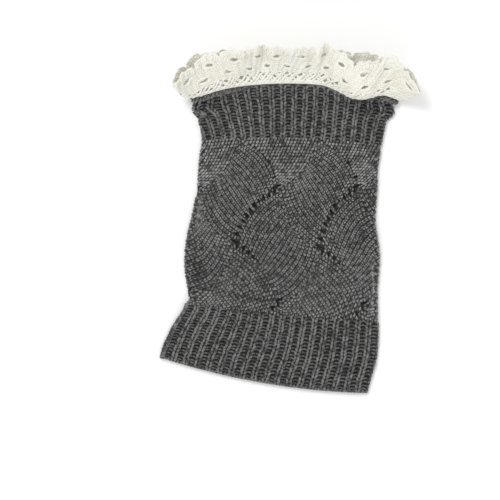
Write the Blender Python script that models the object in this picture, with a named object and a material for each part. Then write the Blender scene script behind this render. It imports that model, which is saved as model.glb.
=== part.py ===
"""One knitted leg warmer with a gathered lace trim, lying flat on a table.

The leg is a knitted tube of three stitches: a ribbed cuff at the mouth, a leg panel of overlapping
raised leaves, and a ribbed cuff at the hem. It lies with its front on its back, so every section
across it is a flat loop with a round fold at each side. The mouth curls outwards and carries a strip
of cotton lace, gathered into a ruffle, with two rows of eyelets and a scalloped edge.

Lengths in the tables are millimetres. X runs across the leg, Y from hem to mouth, Z up.
"""

import math
from collections import namedtuple

import bmesh
import bpy
from mathutils import Vector

MM = 0.001

# Driving sizes, in millimetres.
WALL = 2.1  # knitted cloth, without the raised ribs and leaves
LINING_GAP = 1.0  # between front and back, inside the flat tube
SEAM_GAP = 0.3  # between two pieces that are joined
RIM_GAP = 0.45  # between the rim and the lace, along the rim's middle, so that their corners clear
RIB_RISE = 1.1
LEAF_RISE = 1.7
BACK_DROP = 5.0  # the back of the mouth has slid this far down
CURL_LENGTH = 12.0  # the last stretch of the mouth cuff, which curls outwards
LACE_WIDTH = 34.0
LACE_WALL = 1.2
SCALLOP_RISE = 4.2
SCALLOP_BUMP = 1.1  # each scallop's edge has three small bumps

RIBS = 36
POINTS_PER_RIB = 4
LEAVES = 5  # round the leg
FRONT_LEAVES = 2.25  # of which these lie on the front
FIRST_LEAF = -0.5 - 0.5 / 12  # where the left fold lies in the leaf pattern
LEAF_COLUMNS = 12  # points across one leaf
LEAF_ROWS = 6  # rings in half a leaf
PANEL_ROWS = 3.25  # the leg panel is this many half leaves long
LEAF_BULGE = 0.075  # how far a leaf's sides bow, as a share of their length
BOW_STEEPNESS = 1.6  # the bow down the leg, in half leaves, against the bow across it
PATTERN_DRIFT = 0.045  # leaves that the pattern shifts to the right in each row, as the leg widens
MIDDLE_ROW = 1.6  # where it hasn't shifted
SCALLOPS = 22

# Sections across the flat tube. along: distance from the hem, down the middle of the front.
# left_x and right_x: the folds. left_rise and right_rise: how far the folds lie above the middle.
Section = namedtuple("Section", "name along left_x right_x left_rise right_rise")
SECTIONS = (
    Section("hem", 0.0, -87.5, 52.8, 16.5, -6.8),
    Section("hem cuff", 21.8, -80.2, 58.9, 13.6, -5.4),
    Section("foot of the leg panel", 44.6, -70.6, 60.2, 7.8, -4.6),
    Section("third leaf tips", 53.7, -69.4, 60.0, 6.8, -2.2),
    Section("third leaves", 72.1, -70.8, 60.5, 6.1, -2.7),
    Section("second leaf tips", 91.5, -69.4, 60.8, 4.4, -3.7),
    Section("second leaves", 112.2, -65.6, 58.8, 2.0, -2.0),
    Section("first leaf tips", 131.6, -63.2, 59.8, -1.0, 0.3),
    Section("first leaves", 148.9, -61.2, 60.5, -2.0, -2.0),
    Section("head of the leg panel", 166.3, -59.0, 62.2, -1.7, -4.8),
    Section("mouth cuff", 178.2, -60.4, 64.6, -1.4, -3.4),
    Section("start of the curl", 190.5, -60.8, 66.8, -0.7, -2.4),
    Section("mouth", 202.5, -60.4, 67.4, -1.0, -2.9),
)
CENTRE_X, HEM_MIDDLE_Y = 0.78, -109.97  # these put the origin under the middle of the whole
HEM, PANEL_FOOT, PANEL_HEAD, CURL_START, MOUTH = 0.0, 44.6, 166.3, 190.5, 202.5

# Where each half leaf of the panel starts, counted down from its head.
PANEL_LINES = ((0.0, 166.3), (1.0, 131.6), (2.0, 91.5), (3.0, 53.7), (3.25, 44.6))

# The mouth's curl and the lace's lean, in degrees, round the mouth. around: 0 at the left fold, 0.25
# in the middle of the front, 0.5 at the right fold, 0.75 in the middle of the back. curl: how far the
# rim leans out of the leg's plane, and aim: which way out, from 0 to the right through 90 straight up
# to 180 on the left. lean and lace_aim: the same for the lace, at its free edge.
Flare = namedtuple("Flare", "around curl aim lean lace_aim")
FLARES = (
    Flare(0.00, 104.0, 140.0, 74.0, 104.0),
    Flare(0.025, 100.0, 124.0, 58.0, 110.0),
    Flare(0.05, 76.0, 106.0, 41.0, 106.0),
    Flare(0.08, 58.0, 96.0, 40.0, 98.0),
    Flare(0.12, 42.0, 90.0, 45.0, 90.0),
    Flare(0.18, 30.0, 90.0, 49.0, 90.0),
    Flare(0.25, 26.0, 90.0, 50.0, 90.0),
    Flare(0.32, 34.0, 90.0, 46.0, 90.0),
    Flare(0.36, 78.0, 90.0, 26.0, 90.0),
    Flare(0.40, 118.0, 90.0, 18.0, 88.0),
    Flare(0.435, 116.0, 84.0, 20.0, 84.0),
    Flare(0.47, 84.0, 62.0, 34.0, 76.0),
    Flare(0.50, 104.0, 30.0, 84.0, 76.0),
    Flare(0.513, 60.0, 34.0, 72.0, 70.0),
    Flare(0.54, 52.0, 44.0, 54.0, 72.0),
    Flare(0.58, 24.0, 60.0, 44.0, 80.0),
    Flare(0.66, 4.0, 90.0, 46.0, 90.0),
    Flare(0.75, 3.0, 90.0, 50.0, 90.0),
    Flare(0.84, 4.0, 90.0, 50.0, 90.0),
    Flare(0.92, 24.0, 116.0, 44.0, 98.0),
    Flare(0.96, 52.0, 134.0, 48.0, 106.0),
    Flare(0.987, 60.0, 150.0, 70.0, 106.0),
)

# The ruffle's waves, from the left fold (0) to the right one (0.5), with their height at the lace's
# free edge. The back lies under the front and waves with it.
Wave = namedtuple("Wave", "around height")
WAVES = (
    Wave(0.000, 0.0),
    Wave(0.035, -3.0),
    Wave(0.065, 2.5),
    Wave(0.105, 5.0),
    Wave(0.145, 2.5),
    Wave(0.167, -4.5),
    Wave(0.190, 2.5),
    Wave(0.250, 5.5),
    Wave(0.310, 2.5),
    Wave(0.333, -4.5),
    Wave(0.356, 2.0),
    Wave(0.415, 5.0),
    Wave(0.465, 1.0),
    Wave(0.488, -3.0),
    Wave(0.500, -1.0),
)


def smooth(share):
    """0 to 1, easing in and out."""
    share = min(1.0, max(0.0, share))
    return share * share * (3 - 2 * share)


def cubic(before, start, end, after, share):
    """Catmull-Rom between start and end."""
    slope_in = (end - before) / 2
    slope_out = (after - start) / 2
    rise = end - start
    return (
        start
        + slope_in * share
        + (3 * rise - 2 * slope_in - slope_out) * share**2
        + (slope_in + slope_out - 2 * rise) * share**3
    )


def section_at(along):
    """(left_x, right_x, left_rise, right_rise) of the flat tube at this distance from the hem."""
    last = len(SECTIONS) - 1
    i = max(0, min(last - 1, sum(row.along <= along for row in SECTIONS) - 1))
    rows = [SECTIONS[max(0, i - 1)], SECTIONS[i], SECTIONS[i + 1], SECTIONS[min(last, i + 2)]]
    share = (along - rows[1].along) / (rows[2].along - rows[1].along)
    return [cubic(*(row[column] for row in rows), share) for column in range(2, 6)]


def flare_at(around):
    """(curl, aim, lean, lace_aim) at this place round the mouth."""
    around %= 1.0
    count = len(FLARES)
    i = sum(row.around <= around for row in FLARES) - 1
    start = FLARES[i].around
    end = FLARES[i + 1].around if i + 1 < count else 1.0
    share = (around - start) / (end - start)
    rows = [FLARES[(i + step) % count] for step in (-1, 0, 1, 2)]
    return [cubic(*(row[column] for row in rows), share) for column in (1, 2, 3, 4)]


def wave_at(around):
    """The ruffle's height at its free edge. Every wave eases from crest to hollow."""
    around %= 1.0
    around = min(around, 1.0 - around)
    i = min(len(WAVES) - 2, sum(row.around <= around for row in WAVES) - 1)
    start, end = WAVES[i], WAVES[i + 1]
    share = smooth((around - start.around) / (end.around - start.around))
    return start.height + (end.height - start.height) * share


FOLD = (LINING_GAP + WALL) / 2  # radius of the wall's middle at a side fold
MIDDLE_Z = WALL / 2 + FOLD


def flat_loop(around, width):
    """(x, z) on a flat loop of this width, counted along it from its left fold over the front."""
    straight = width - 2 * FOLD
    quarter = math.pi * FOLD / 2
    arc = (around % 1.0) * (2 * straight + 4 * quarter)
    if arc < quarter:
        angle = arc / FOLD
        return -straight / 2 - FOLD * math.cos(angle), FOLD * math.sin(angle)
    arc -= quarter
    if arc < straight:
        return -straight / 2 + arc, FOLD
    arc -= straight
    if arc < 2 * quarter:
        angle = arc / FOLD
        return straight / 2 + FOLD * math.sin(angle), FOLD * math.cos(angle)
    arc -= 2 * quarter
    if arc < straight:
        return straight / 2 - arc, -FOLD
    angle = (arc - straight) / FOLD
    return -straight / 2 - FOLD * math.sin(angle), -FOLD * math.cos(angle)


def flat_tube(around, along):
    """The middle of the wall, before the mouth curls."""
    left_x, right_x, left_rise, right_rise = section_at(along)
    width = right_x - left_x - WALL
    x, z = flat_loop(around, width)
    across = x / (width / 2 - FOLD)
    across = min(1.0, max(-1.0, across))
    rise = (right_rise - left_rise) / 2 * across + (right_rise + left_rise) / 2 * across**2
    at_mouth = smooth((along - PANEL_HEAD) / (CURL_START - PANEL_HEAD))
    rise -= BACK_DROP * at_mouth * (0.5 - 0.5 * math.sin(2 * math.pi * around))
    return Vector((CENTRE_X + (left_x + right_x) / 2 + x, HEM_MIDDLE_Y + along + rise, MIDDLE_Z + z))


def outwards(aim):
    return Vector((math.cos(math.radians(aim)), 0.0, math.sin(math.radians(aim))))


def leg_wall(around, along):
    """The middle of the knitted wall, with the curl at the mouth as a round arc."""
    if along <= CURL_START:
        return flat_tube(around, along)
    curl, aim, _, _ = flare_at(around)
    angle = math.radians(max(curl, 1.0)) * (along - CURL_START) / CURL_LENGTH
    radius = CURL_LENGTH / math.radians(max(curl, 1.0))
    start = flat_tube(around, CURL_START)
    drift = flat_tube(around, along) - start
    drift.y = radius * math.sin(angle)
    return start + drift + outwards(aim) * radius * (1 - math.cos(angle))


LACE_STEPS = 24  # steps in which the lace's bend is added up, across its width
LACE_BEND = 4  # the higher, the nearer to the seam the lace bends
WAVE_DROP = 0.35  # how far a wave's crest falls towards the hem, as a share of its height


def lace_middle(around, across):
    """The middle of the lace, this far from the seam. It leaves the rim in line with the curl, turns
    to its own lean, and waves more and more towards its free edge."""
    curl, aim, lean, lace_aim = flare_at(around)
    upwards = Vector((0, 1, 0))
    angle = math.radians(curl)
    place = leg_wall(around, MOUTH)
    place += (upwards * math.cos(angle) + outwards(aim) * math.sin(angle)) * RIM_GAP
    for step in range(LACE_STEPS):
        left = max(0.0, 1 - (step + 0.5) / LACE_STEPS * across / LACE_WIDTH) ** LACE_BEND
        angle = math.radians(lean + (curl - lean) * left)
        out = outwards(lace_aim + (aim - lace_aim) * left)
        place += (upwards * math.cos(angle) + out * math.sin(angle)) * across / LACE_STEPS
    wave = wave_at(around) * smooth(across / LACE_WIDTH)
    return place + (outwards(lace_aim) - upwards * WAVE_DROP) * wave


def normal_of(surface, around, along, round_step=0.0008, long_step=0.25):
    """The outward normal of a surface, from points close by."""
    across = surface(around + round_step, along) - surface(around - round_step, along)
    upwards = surface(around, along + long_step) - surface(around, along - long_step)
    return across.cross(upwards).normalized()


def leg_normal(around, along):
    """The leg's outward normal. Below the curl it stays level with its ring, so pieces meet evenly."""
    normal = normal_of(leg_wall, around, along)
    if along < CURL_START:
        normal.y = 0.0
    return normal.normalized()


def topside(around, along):
    """1 where the wall faces up, 0 on the underside, which rests flat on the table."""
    left_x, right_x, _, _ = section_at(along)
    _, z = flat_loop(around, right_x - left_x - WALL)
    return smooth(0.5 + 0.5 * z / FOLD)


def rest_flat(point):
    """The underside lies on the table and nothing reaches below it."""
    if point.z < 0.02:
        point.z = 0.0
    return point


def tube_solid(name, colour, outer_rings, inner_rings, falls=None):
    """A closed wall from rings of points, from hem to mouth: the outer ones and the plain inner ones.
    falls(ring, i) says that the outside's square there is folded from its upper left to its lower
    right corner."""
    mesh = bmesh.new()
    outer = [[mesh.verts.new(point * MM) for point in ring] for ring in outer_rings]
    inner = [[mesh.verts.new(point * MM) for point in ring] for ring in inner_rings]
    count = len(outer[0])
    for i in range(count):
        j = (i + 1) % count
        for ring, (low, high) in enumerate(zip(outer, outer[1:])):
            if falls and falls(ring, i):
                mesh.faces.new((low[i], low[j], high[i]))
                mesh.faces.new((low[j], high[j], high[i]))
            else:
                mesh.faces.new((low[i], low[j], high[j]))
                mesh.faces.new((low[i], high[j], high[i]))
        for low, high in zip(inner, inner[1:]):
            mesh.faces.new((low[i], low[j], high[j], high[i]))
        for outside, inside in ((outer[0], inner[0]), (outer[-1], inner[-1])):
            mesh.faces.new((outside[i], outside[j], inside[j], inside[i]))
    return finish_solid(name, colour, mesh)


def finish_solid(name, colour, mesh):
    bmesh.ops.triangulate(mesh, faces=mesh.faces[:])
    bmesh.ops.recalc_face_normals(mesh, faces=mesh.faces[:])
    data = bpy.data.meshes.new(name)
    mesh.to_mesh(data)
    mesh.free()
    data.shade_smooth()
    material = bpy.data.materials.new(name)
    material.use_nodes = True
    shader = material.node_tree.nodes["Principled BSDF"]
    shader.inputs["Base Color"].default_value = (*colour, 1.0)
    shader.inputs["Roughness"].default_value = 0.9
    data.materials.append(material)
    solid = bpy.data.objects.new(name, data)
    bpy.context.scene.collection.objects.link(solid)
    return solid


# The two ribbed cuffs.


def rib_height(step, along):
    """Each rib is two points high and two low, and it ends at the rim's bound-off edge."""
    high = step % POINTS_PER_RIB < POINTS_PER_RIB / 2 and along < MOUTH
    return RIB_RISE if high else 0.0


def ribbed_cuff(name, colour, stations):
    """A cuff with its ribs raised in the outside, over a plain inside."""
    count = RIBS * POINTS_PER_RIB
    outer_rings, inner_rings = [], []
    for along in stations:
        outer_ring, inner_ring = [], []
        for step in range(count):
            around = step / count
            point = leg_wall(around, along)
            normal = leg_normal(around, along)
            rise = WALL / 2 + rib_height(step, along) * topside(around, along)
            outer_ring.append(rest_flat(point + normal * rise))
            inner_ring.append(point - normal * WALL / 2)
        outer_rings.append(outer_ring)
        inner_rings.append(inner_ring)
    return tube_solid(name, colour, outer_rings, inner_rings)


def spread(start, end, count):
    return [start + (end - start) * i / (count - 1) for i in range(count)]


# The leg panel of leaves. Its pattern coordinates are a leaf count round the leg, and half leaves
# counted down from the panel's head. Leaves stand on their tips in a brick layout: each has its top
# at (k, n - 1), its side tips at (k - 0.5, n) and (k + 0.5, n), and its bottom at (k, n + 1).


def leaf_at(column, row):
    """((k, n) of the leaf here, p, q): p runs from its top to its left tip, q to its right tip."""
    rising = row + 2 * column
    falling = row - 2 * column
    i, j = math.floor(rising / 2), math.floor(falling / 2)
    q, p = rising / 2 - i, falling / 2 - j
    top_column, top_row = (i - j) / 2, i + j
    return (top_column, top_row + 1), p, q


def warp(column, row):
    """Bows the leaves' sides, so that they seem to overlap: the upper side that a leaf leans towards
    and the lower side across from it bow outwards, the other two inwards. The head and the foot of the
    panel stay level."""
    (_, n), p, q = leaf_at(column, row)
    fade = smooth(row / 0.5) * smooth((PANEL_ROWS - row) / 0.4)
    sign = 1 if n % 2 else -1  # leaves lean to the right in odd rows, and to the left in even ones
    if sign < 0:
        p, q = q, p
    bow_q = 4 * q * (1 - q) * (1 - 2 * p)
    bow_p = 4 * p * (1 - p) * (1 - 2 * q)
    shift_column = LEAF_BULGE * (bow_q + bow_p) * sign
    shift_row = LEAF_BULGE * BOW_STEEPNESS * (bow_p - bow_q) * fade
    drift = PATTERN_DRIFT * (row - MIDDLE_ROW)
    return column + shift_column + drift, row + shift_row


def leaf_height(column, row):
    """A leaf is a low cushion between its four sides, fuller towards its top."""
    (_, n), p, q = leaf_at(column, row)
    fade = smooth(row / 0.25) * smooth((PANEL_ROWS - row) / 0.25)
    cushion = (1 - (2 * p - 1) ** 4) * (1 - (2 * q - 1) ** 4)
    return LEAF_RISE * cushion * (0.3 + 0.7 * fade)


def around_of(column):
    """Place round the leg of a leaf count: the front holds FRONT_LEAVES and the back the rest."""
    count = column - FIRST_LEAF
    if count <= FRONT_LEAVES:
        return count / FRONT_LEAVES / 2
    return 0.5 + (count - FRONT_LEAVES) / (LEAVES - FRONT_LEAVES) / 2


def along_of(row):
    """Distance from the hem of a row of the leaf pattern."""
    for (start, start_along), (end, end_along) in zip(PANEL_LINES, PANEL_LINES[1:]):
        if row <= end:
            break
    return start_along + (end_along - start_along) * (row - start) / (end - start)


FOLD_COLUMNS = (-0.022, 0.0, 0.022)  # extra columns of points at a side fold


def panel_columns():
    """Every column of points round the panel, with the folds' own."""
    first = math.ceil(FIRST_LEAF * LEAF_COLUMNS)
    columns = [i / LEAF_COLUMNS for i in range(first, first + LEAVES * LEAF_COLUMNS)]
    right_fold = FIRST_LEAF + FRONT_LEAVES
    columns += [FIRST_LEAF + LEAVES + step for step in FOLD_COLUMNS if step < 0]
    columns += [FIRST_LEAF + step for step in FOLD_COLUMNS if step >= 0]
    columns += [right_fold + step for step in FOLD_COLUMNS]
    return sorted(columns)


def leg_panel(name, colour):
    columns = panel_columns()
    rows = [i / LEAF_ROWS for i in range(1 + int(PANEL_ROWS * LEAF_ROWS))] + [PANEL_ROWS]
    inner_rows = spread(0.0, PANEL_ROWS, 9)
    foot, head = PANEL_FOOT + SEAM_GAP / 2, PANEL_HEAD - SEAM_GAP / 2
    outer_rings = []
    for row in reversed(rows):
        ring = []
        for column in columns:
            at_column, at_row = warp(column, row)
            at_fold = min(abs(column - FIRST_LEAF - turn) for turn in (0, FRONT_LEAVES, LEAVES))
            at_column = column + (at_column - column) * smooth((at_fold - 0.03) / 0.15)
            around = around_of(at_column)
            along = min(head, max(foot, along_of(at_row)))
            rise = WALL / 2 + leaf_height(column, row) * topside(around, along)
            point = leg_wall(around, along) + leg_normal(around, along) * rise
            ring.append(rest_flat(point))
        outer_rings.append(ring)
    inner_rings = []
    for row in reversed(inner_rows):
        along = min(head, max(foot, along_of(row)))
        places = [around_of(column) for column in columns]
        inner_rings.append(
            [leg_wall(a, along) - leg_normal(a, along) * WALL / 2 for a in places]
        )

    def falls(ring, i):
        """True where a crease between leaves runs down to the right through this square, or runs
        nearer to it than one that runs up to the right."""
        row = rows[len(rows) - 1 - ring]
        column = columns[i]
        rising = (row + 2 * column) / 2
        falling = (row - 1 / LEAF_ROWS - 2 * column) / 2
        return abs(falling - round(falling)) < abs(rising - round(rising))

    return tube_solid(name, colour, outer_rings, inner_rings, falls=falls)


# The lace ruffle.

Lace = namedtuple("Lace", "name across")
LACE_ROWS = (
    Lace("seam", 0.0),
    Lace("gathers", 3.0),
    Lace("net", 7.5),
    Lace("under the inner eyelets", 13.0),
    Lace("over the inner eyelets", 17.4),
    Lace("under the outer eyelets", 22.4),
    Lace("over the outer eyelets", 27.6),
    Lace("scalloped edge", LACE_WIDTH),
)
INNER_EYELETS, OUTER_EYELETS = 3, 5  # rows of LACE_ROWS below each row of eyelets
LACE_COLUMNS = 6  # in one scallop
EYELET_PEAK = 0.9  # how far an eyelet's ends bow out


def free_edge_places(samples=720, across=0.7 * LACE_WIDTH):
    """Places round the mouth at which equal lengths of lace have passed, far from the seam."""
    points = [lace_middle(i / samples, across) for i in range(samples + 1)]
    passed = [0.0]
    for start, end in zip(points, points[1:]):
        passed.append(passed[-1] + (end - start).length)
    places, i = [], 0
    for step in range(SCALLOPS * LACE_COLUMNS + 1):
        target = passed[-1] * step / (SCALLOPS * LACE_COLUMNS)
        while i + 1 < samples and passed[i + 1] < target:
            i += 1
        places.append((i + (target - passed[i]) / (passed[i + 1] - passed[i])) / samples)
    return places


def lace_across(row, step):
    """How far from the seam a point of the lace lies, with the eyelets' ends and the scallops."""
    across = LACE_ROWS[row].across
    in_scallop = step % LACE_COLUMNS
    if row == len(LACE_ROWS) - 1:
        arch = math.sin(math.pi * in_scallop / LACE_COLUMNS) ** 0.7
        return across + SCALLOP_RISE * (arch - 1) - SCALLOP_BUMP * (in_scallop % 2 == 0)
    for eyelets, middle in ((INNER_EYELETS, 0), (OUTER_EYELETS, LACE_COLUMNS // 2)):
        if in_scallop == middle and row in (eyelets, eyelets + 1):
            return across + (EYELET_PEAK if row > eyelets else -EYELET_PEAK)
    return across


def is_eyelet(row, step):
    """True for the faces that an eyelet takes out: two beside its middle column."""
    in_scallop = step % LACE_COLUMNS
    inner = row == INNER_EYELETS and in_scallop in (LACE_COLUMNS - 1, 0)
    outer = row == OUTER_EYELETS and in_scallop in (LACE_COLUMNS // 2 - 1, LACE_COLUMNS // 2)
    return inner or outer


def lace_strip(name, colour, first, last):
    """Half of the gathered strip, between two columns of it: front and back layers of points, joined
    round its edges and its eyelets. The columns are even at the seam, and at the free edge too."""
    places = free_edge_places()
    mesh = bmesh.new()
    layers = ({}, {})
    for row in range(len(LACE_ROWS)):
        for step in range(first, last + 1):
            across = lace_across(row, step)
            even = step / (SCALLOPS * LACE_COLUMNS)
            around = even + (places[step] - even) * smooth(across / LACE_WIDTH)
            inside = (step == first) - (step == last)
            tangent = lace_middle(around + 0.0008, across) - lace_middle(around - 0.0008, across)
            middle = lace_middle(around, across) + tangent.normalized() * inside * SEAM_GAP / 2
            normal = normal_of(lace_middle, around, max(across, 0.3), long_step=0.3)
            for layer, side in zip(layers, (0.5, -0.5)):
                layer[row, step] = mesh.verts.new((middle + normal * LACE_WALL * side) * MM)
    front, back = layers
    kept = [
        (row, step)
        for row in range(len(LACE_ROWS) - 1)
        for step in range(first, last)
        if not is_eyelet(row, step)
    ]
    for row, step in kept:
        corners = ((row, step), (row, step + 1), (row + 1, step + 1), (row + 1, step))
        mesh.faces.new([front[corner] for corner in corners])
        mesh.faces.new([back[corner] for corner in reversed(corners)])
        beside = ((row - 1, step), (row, step + 1), (row + 1, step), (row, step - 1))
        for start, end, neighbour in zip(corners, corners[1:] + corners[:1], beside):
            if neighbour not in kept:
                mesh.faces.new((front[start], back[start], back[end], front[end]))
    return finish_solid(name, colour, mesh)


CHARCOAL_WOOL = (0.095, 0.095, 0.095)
CREAM_COTTON = (0.80, 0.78, 0.68)


def main():
    for old in list(bpy.data.objects):
        bpy.data.objects.remove(old)
    hem = spread(HEM, PANEL_FOOT - SEAM_GAP / 2, 4)
    mouth = [PANEL_HEAD + SEAM_GAP / 2, 178.0, CURL_START, 193.0, 197.0, MOUTH]
    ribbed_cuff("hem_cuff", CHARCOAL_WOOL, hem)
    leg_panel("leg_panel", CHARCOAL_WOOL)
    ribbed_cuff("mouth_cuff", CHARCOAL_WOOL, mouth)
    half_lace = SCALLOPS * LACE_COLUMNS // 2
    lace_strip("lace_front", CREAM_COTTON, 0, half_lace)
    lace_strip("lace_back", CREAM_COTTON, half_lace, 2 * half_lace)


main()
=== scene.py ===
"""One knitted leg warmer with a gathered lace ruffle, lying flat on a pale table.

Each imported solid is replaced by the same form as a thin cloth, with every stitch or thread that
shows laid on it. X runs across the leg, Y from hem to mouth, Z up. Lengths are millimetres, but
metres in the sheets' flat sizes, the finishes, the table and the lamps. A place on the leg is its
share of the way round, from the left fold over the front, and its distance from the hem.
"""

import math

import bpy
import numpy as np
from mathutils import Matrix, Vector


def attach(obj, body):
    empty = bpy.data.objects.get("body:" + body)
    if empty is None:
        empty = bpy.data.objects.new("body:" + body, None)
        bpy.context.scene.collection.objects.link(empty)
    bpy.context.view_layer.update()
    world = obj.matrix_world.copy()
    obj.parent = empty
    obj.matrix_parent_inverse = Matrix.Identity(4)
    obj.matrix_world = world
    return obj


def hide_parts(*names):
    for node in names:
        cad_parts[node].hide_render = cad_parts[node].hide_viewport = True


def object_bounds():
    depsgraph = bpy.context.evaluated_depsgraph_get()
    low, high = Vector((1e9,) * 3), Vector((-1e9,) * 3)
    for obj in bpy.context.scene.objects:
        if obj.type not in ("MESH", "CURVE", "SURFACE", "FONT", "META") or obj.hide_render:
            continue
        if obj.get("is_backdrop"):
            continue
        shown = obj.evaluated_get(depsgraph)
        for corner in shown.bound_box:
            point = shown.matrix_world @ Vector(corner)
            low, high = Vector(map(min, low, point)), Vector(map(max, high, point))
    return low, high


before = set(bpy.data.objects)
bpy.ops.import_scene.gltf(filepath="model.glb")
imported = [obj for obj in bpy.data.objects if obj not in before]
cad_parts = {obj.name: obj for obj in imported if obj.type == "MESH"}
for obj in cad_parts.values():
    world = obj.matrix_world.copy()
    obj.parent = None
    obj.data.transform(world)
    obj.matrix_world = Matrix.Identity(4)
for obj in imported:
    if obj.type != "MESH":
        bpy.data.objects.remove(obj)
cad_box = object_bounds()

# The hem cuff: 1x1 ribbing in charcoal wool, knitted as one tube with the leg above it. The ribs
# are wales of plain stitches, and the furrows between them are purl stitches. It is the leg's
# lower end, so the leg's flat form and the wool are given here too.

MM = 0.001
WALL = 2.1  # knitted cloth, without the raised ribs and leaves
INSIDE_GAP = 1.0  # between front and back, inside the flat tube
SEAM_GAP = 0.3  # between two pieces that meet
RIB_RISE = 1.1
BACK_DROP = 5.0  # the back of the mouth has slid this far down
RIBS = 36
CENTRE_X, HEM_MIDDLE_Y = 0.78, -109.97  # where the sections' origin lies in the part's frame
HEM, PANEL_FOOT, PANEL_HEAD, CURL_START, MOUTH = 0.0, 44.6, 166.3, 190.5, 202.5
CURL_LENGTH = MOUTH - CURL_START
LEAST_CURL = 1.0  # degrees, so that the arc always has a radius

# Sections across the flat tube: distance from the hem, the two folds, and how far each fold lies
# above the middle.
SECTIONS = np.array([
    (0.0, -87.5, 52.8, 16.5, -6.8),
    (21.8, -80.2, 58.9, 13.6, -5.4),
    (44.6, -70.6, 60.2, 7.8, -4.6),
    (53.7, -69.4, 60.0, 6.8, -2.2),
    (72.1, -70.8, 60.5, 6.1, -2.7),
    (91.5, -69.4, 60.8, 4.4, -3.7),
    (112.2, -65.6, 58.8, 2.0, -2.0),
    (131.6, -63.2, 59.8, -1.0, 0.3),
    (148.9, -61.2, 60.5, -2.0, -2.0),
    (166.3, -59.0, 62.2, -1.7, -4.8),
    (178.2, -60.4, 64.6, -1.4, -3.4),
    (190.5, -60.8, 66.8, -0.7, -2.4),
    (202.5, -60.4, 67.4, -1.0, -2.9),
])

# Round the mouth, from the left fold (0) over the front: how far the rim curls out of the leg's
# plane and which way out, from 0 to the right to 180 on the left, then the same two for the lace's
# free edge, all in degrees.
FLARES = np.array([
    (0.00, 104.0, 140.0, 74.0, 104.0),
    (0.025, 100.0, 124.0, 58.0, 110.0),
    (0.05, 76.0, 106.0, 41.0, 106.0),
    (0.08, 58.0, 96.0, 40.0, 98.0),
    (0.12, 42.0, 90.0, 45.0, 90.0),
    (0.18, 30.0, 90.0, 49.0, 90.0),
    (0.25, 26.0, 90.0, 50.0, 90.0),
    (0.32, 34.0, 90.0, 46.0, 90.0),
    (0.36, 78.0, 90.0, 26.0, 90.0),
    (0.40, 118.0, 90.0, 18.0, 88.0),
    (0.435, 116.0, 84.0, 20.0, 84.0),
    (0.47, 84.0, 62.0, 34.0, 76.0),
    (0.50, 104.0, 30.0, 84.0, 76.0),
    (0.513, 60.0, 34.0, 72.0, 70.0),
    (0.54, 52.0, 44.0, 54.0, 72.0),
    (0.58, 24.0, 60.0, 44.0, 80.0),
    (0.66, 4.0, 90.0, 46.0, 90.0),
    (0.75, 3.0, 90.0, 50.0, 90.0),
    (0.84, 4.0, 90.0, 50.0, 90.0),
    (0.92, 24.0, 116.0, 44.0, 98.0),
    (0.96, 52.0, 134.0, 48.0, 106.0),
    (0.987, 60.0, 150.0, 70.0, 106.0),
])


def easing(share):
    """0 to 1, easing in and out."""
    share = np.clip(share, 0.0, 1.0)
    return share * share * (3 - 2 * share)


def spline(table, at):
    """A smooth curve through the table's rows: its other columns at these values of the first."""
    keys = table[:, 0]
    last = len(table) - 1
    i = np.clip(np.searchsorted(keys, at, side="right") - 1, 0, last - 1)
    before, start, end, after = (table[np.clip(i + step, 0, last), 1:] for step in (-1, 0, 1, 2))
    share = ((at - keys[i]) / (keys[i + 1] - keys[i]))[..., None]
    slope_in, slope_out, rise = (end - before) / 2, (after - start) / 2, end - start
    curve = slope_in * share + (3 * rise - 2 * slope_in - slope_out) * share**2
    return start + curve + (slope_in + slope_out - 2 * rise) * share**3


# The same rows, carried on past the left fold both ways.
TURN = (1, 0, 0, 0, 0)
FLARES_ROUND = np.concatenate([FLARES[-2:] - TURN, FLARES, FLARES[:3] + TURN])


def stack(x, y, z):
    return np.stack(np.broadcast_arrays(x, y, z), axis=-1)


def unit(vectors):
    return vectors / np.linalg.norm(vectors, axis=-1, keepdims=True)


# The bulge at both folds: its middle, half length and reach, how far it goes, and its drop's share.
LIP_MIDDLE, LIP_HALF, LIP_SPREAD = 189.5, 7.5, 0.09
LIP_LEFT, LIP_RIGHT = 5.5, 4.2
LIP_DROP = 0.3

FOLD = (INSIDE_GAP + WALL) / 2  # radius of the wall's middle at a side fold
MIDDLE_Z = WALL / 2 + FOLD


def flat_loop(around, width):
    """(x, z) on a flat loop of this width, counted along it from its left fold over the front."""
    straight = width - 2 * FOLD
    quarter = math.pi * FOLD / 2
    arc = (around % 1.0) * (2 * straight + 4 * quarter)
    ends = [quarter, quarter + straight, 3 * quarter + straight, 3 * quarter + 2 * straight]
    stages = [arc < end for end in ends]
    left, right, last = arc / FOLD, (arc - ends[1]) / FOLD, (arc - ends[3]) / FOLD
    half = straight / 2
    across = [
        -half - FOLD * np.cos(left),
        -half + arc - quarter,
        half + FOLD * np.sin(right),
        half - (arc - ends[2]),
    ]
    heights = [FOLD * np.sin(left), FOLD, FOLD * np.cos(right), -FOLD]
    x = np.select(stages, across, default=-half - FOLD * np.sin(last))
    z = np.select(stages, heights, default=-FOLD * np.cos(last))
    return x, z


def flat_tube(around, along):
    """The middle of the wall, before the mouth curls."""
    left_x, right_x, left_rise, right_rise = np.moveaxis(spline(SECTIONS, along), -1, 0)
    width = right_x - left_x - WALL
    x, z = flat_loop(around, width)
    across = np.clip(x / (width / 2 - FOLD), -1.0, 1.0)
    rise = (right_rise - left_rise) / 2 * across + (right_rise + left_rise) / 2 * across**2
    at_mouth = easing((along - PANEL_HEAD) / (CURL_START - PANEL_HEAD))
    rise = rise - BACK_DROP * at_mouth * (0.5 - 0.5 * np.sin(2 * math.pi * around))
    return stack(CENTRE_X + (left_x + right_x) / 2 + x, HEM_MIDDLE_Y + along + rise, MIDDLE_Z + z)


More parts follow.
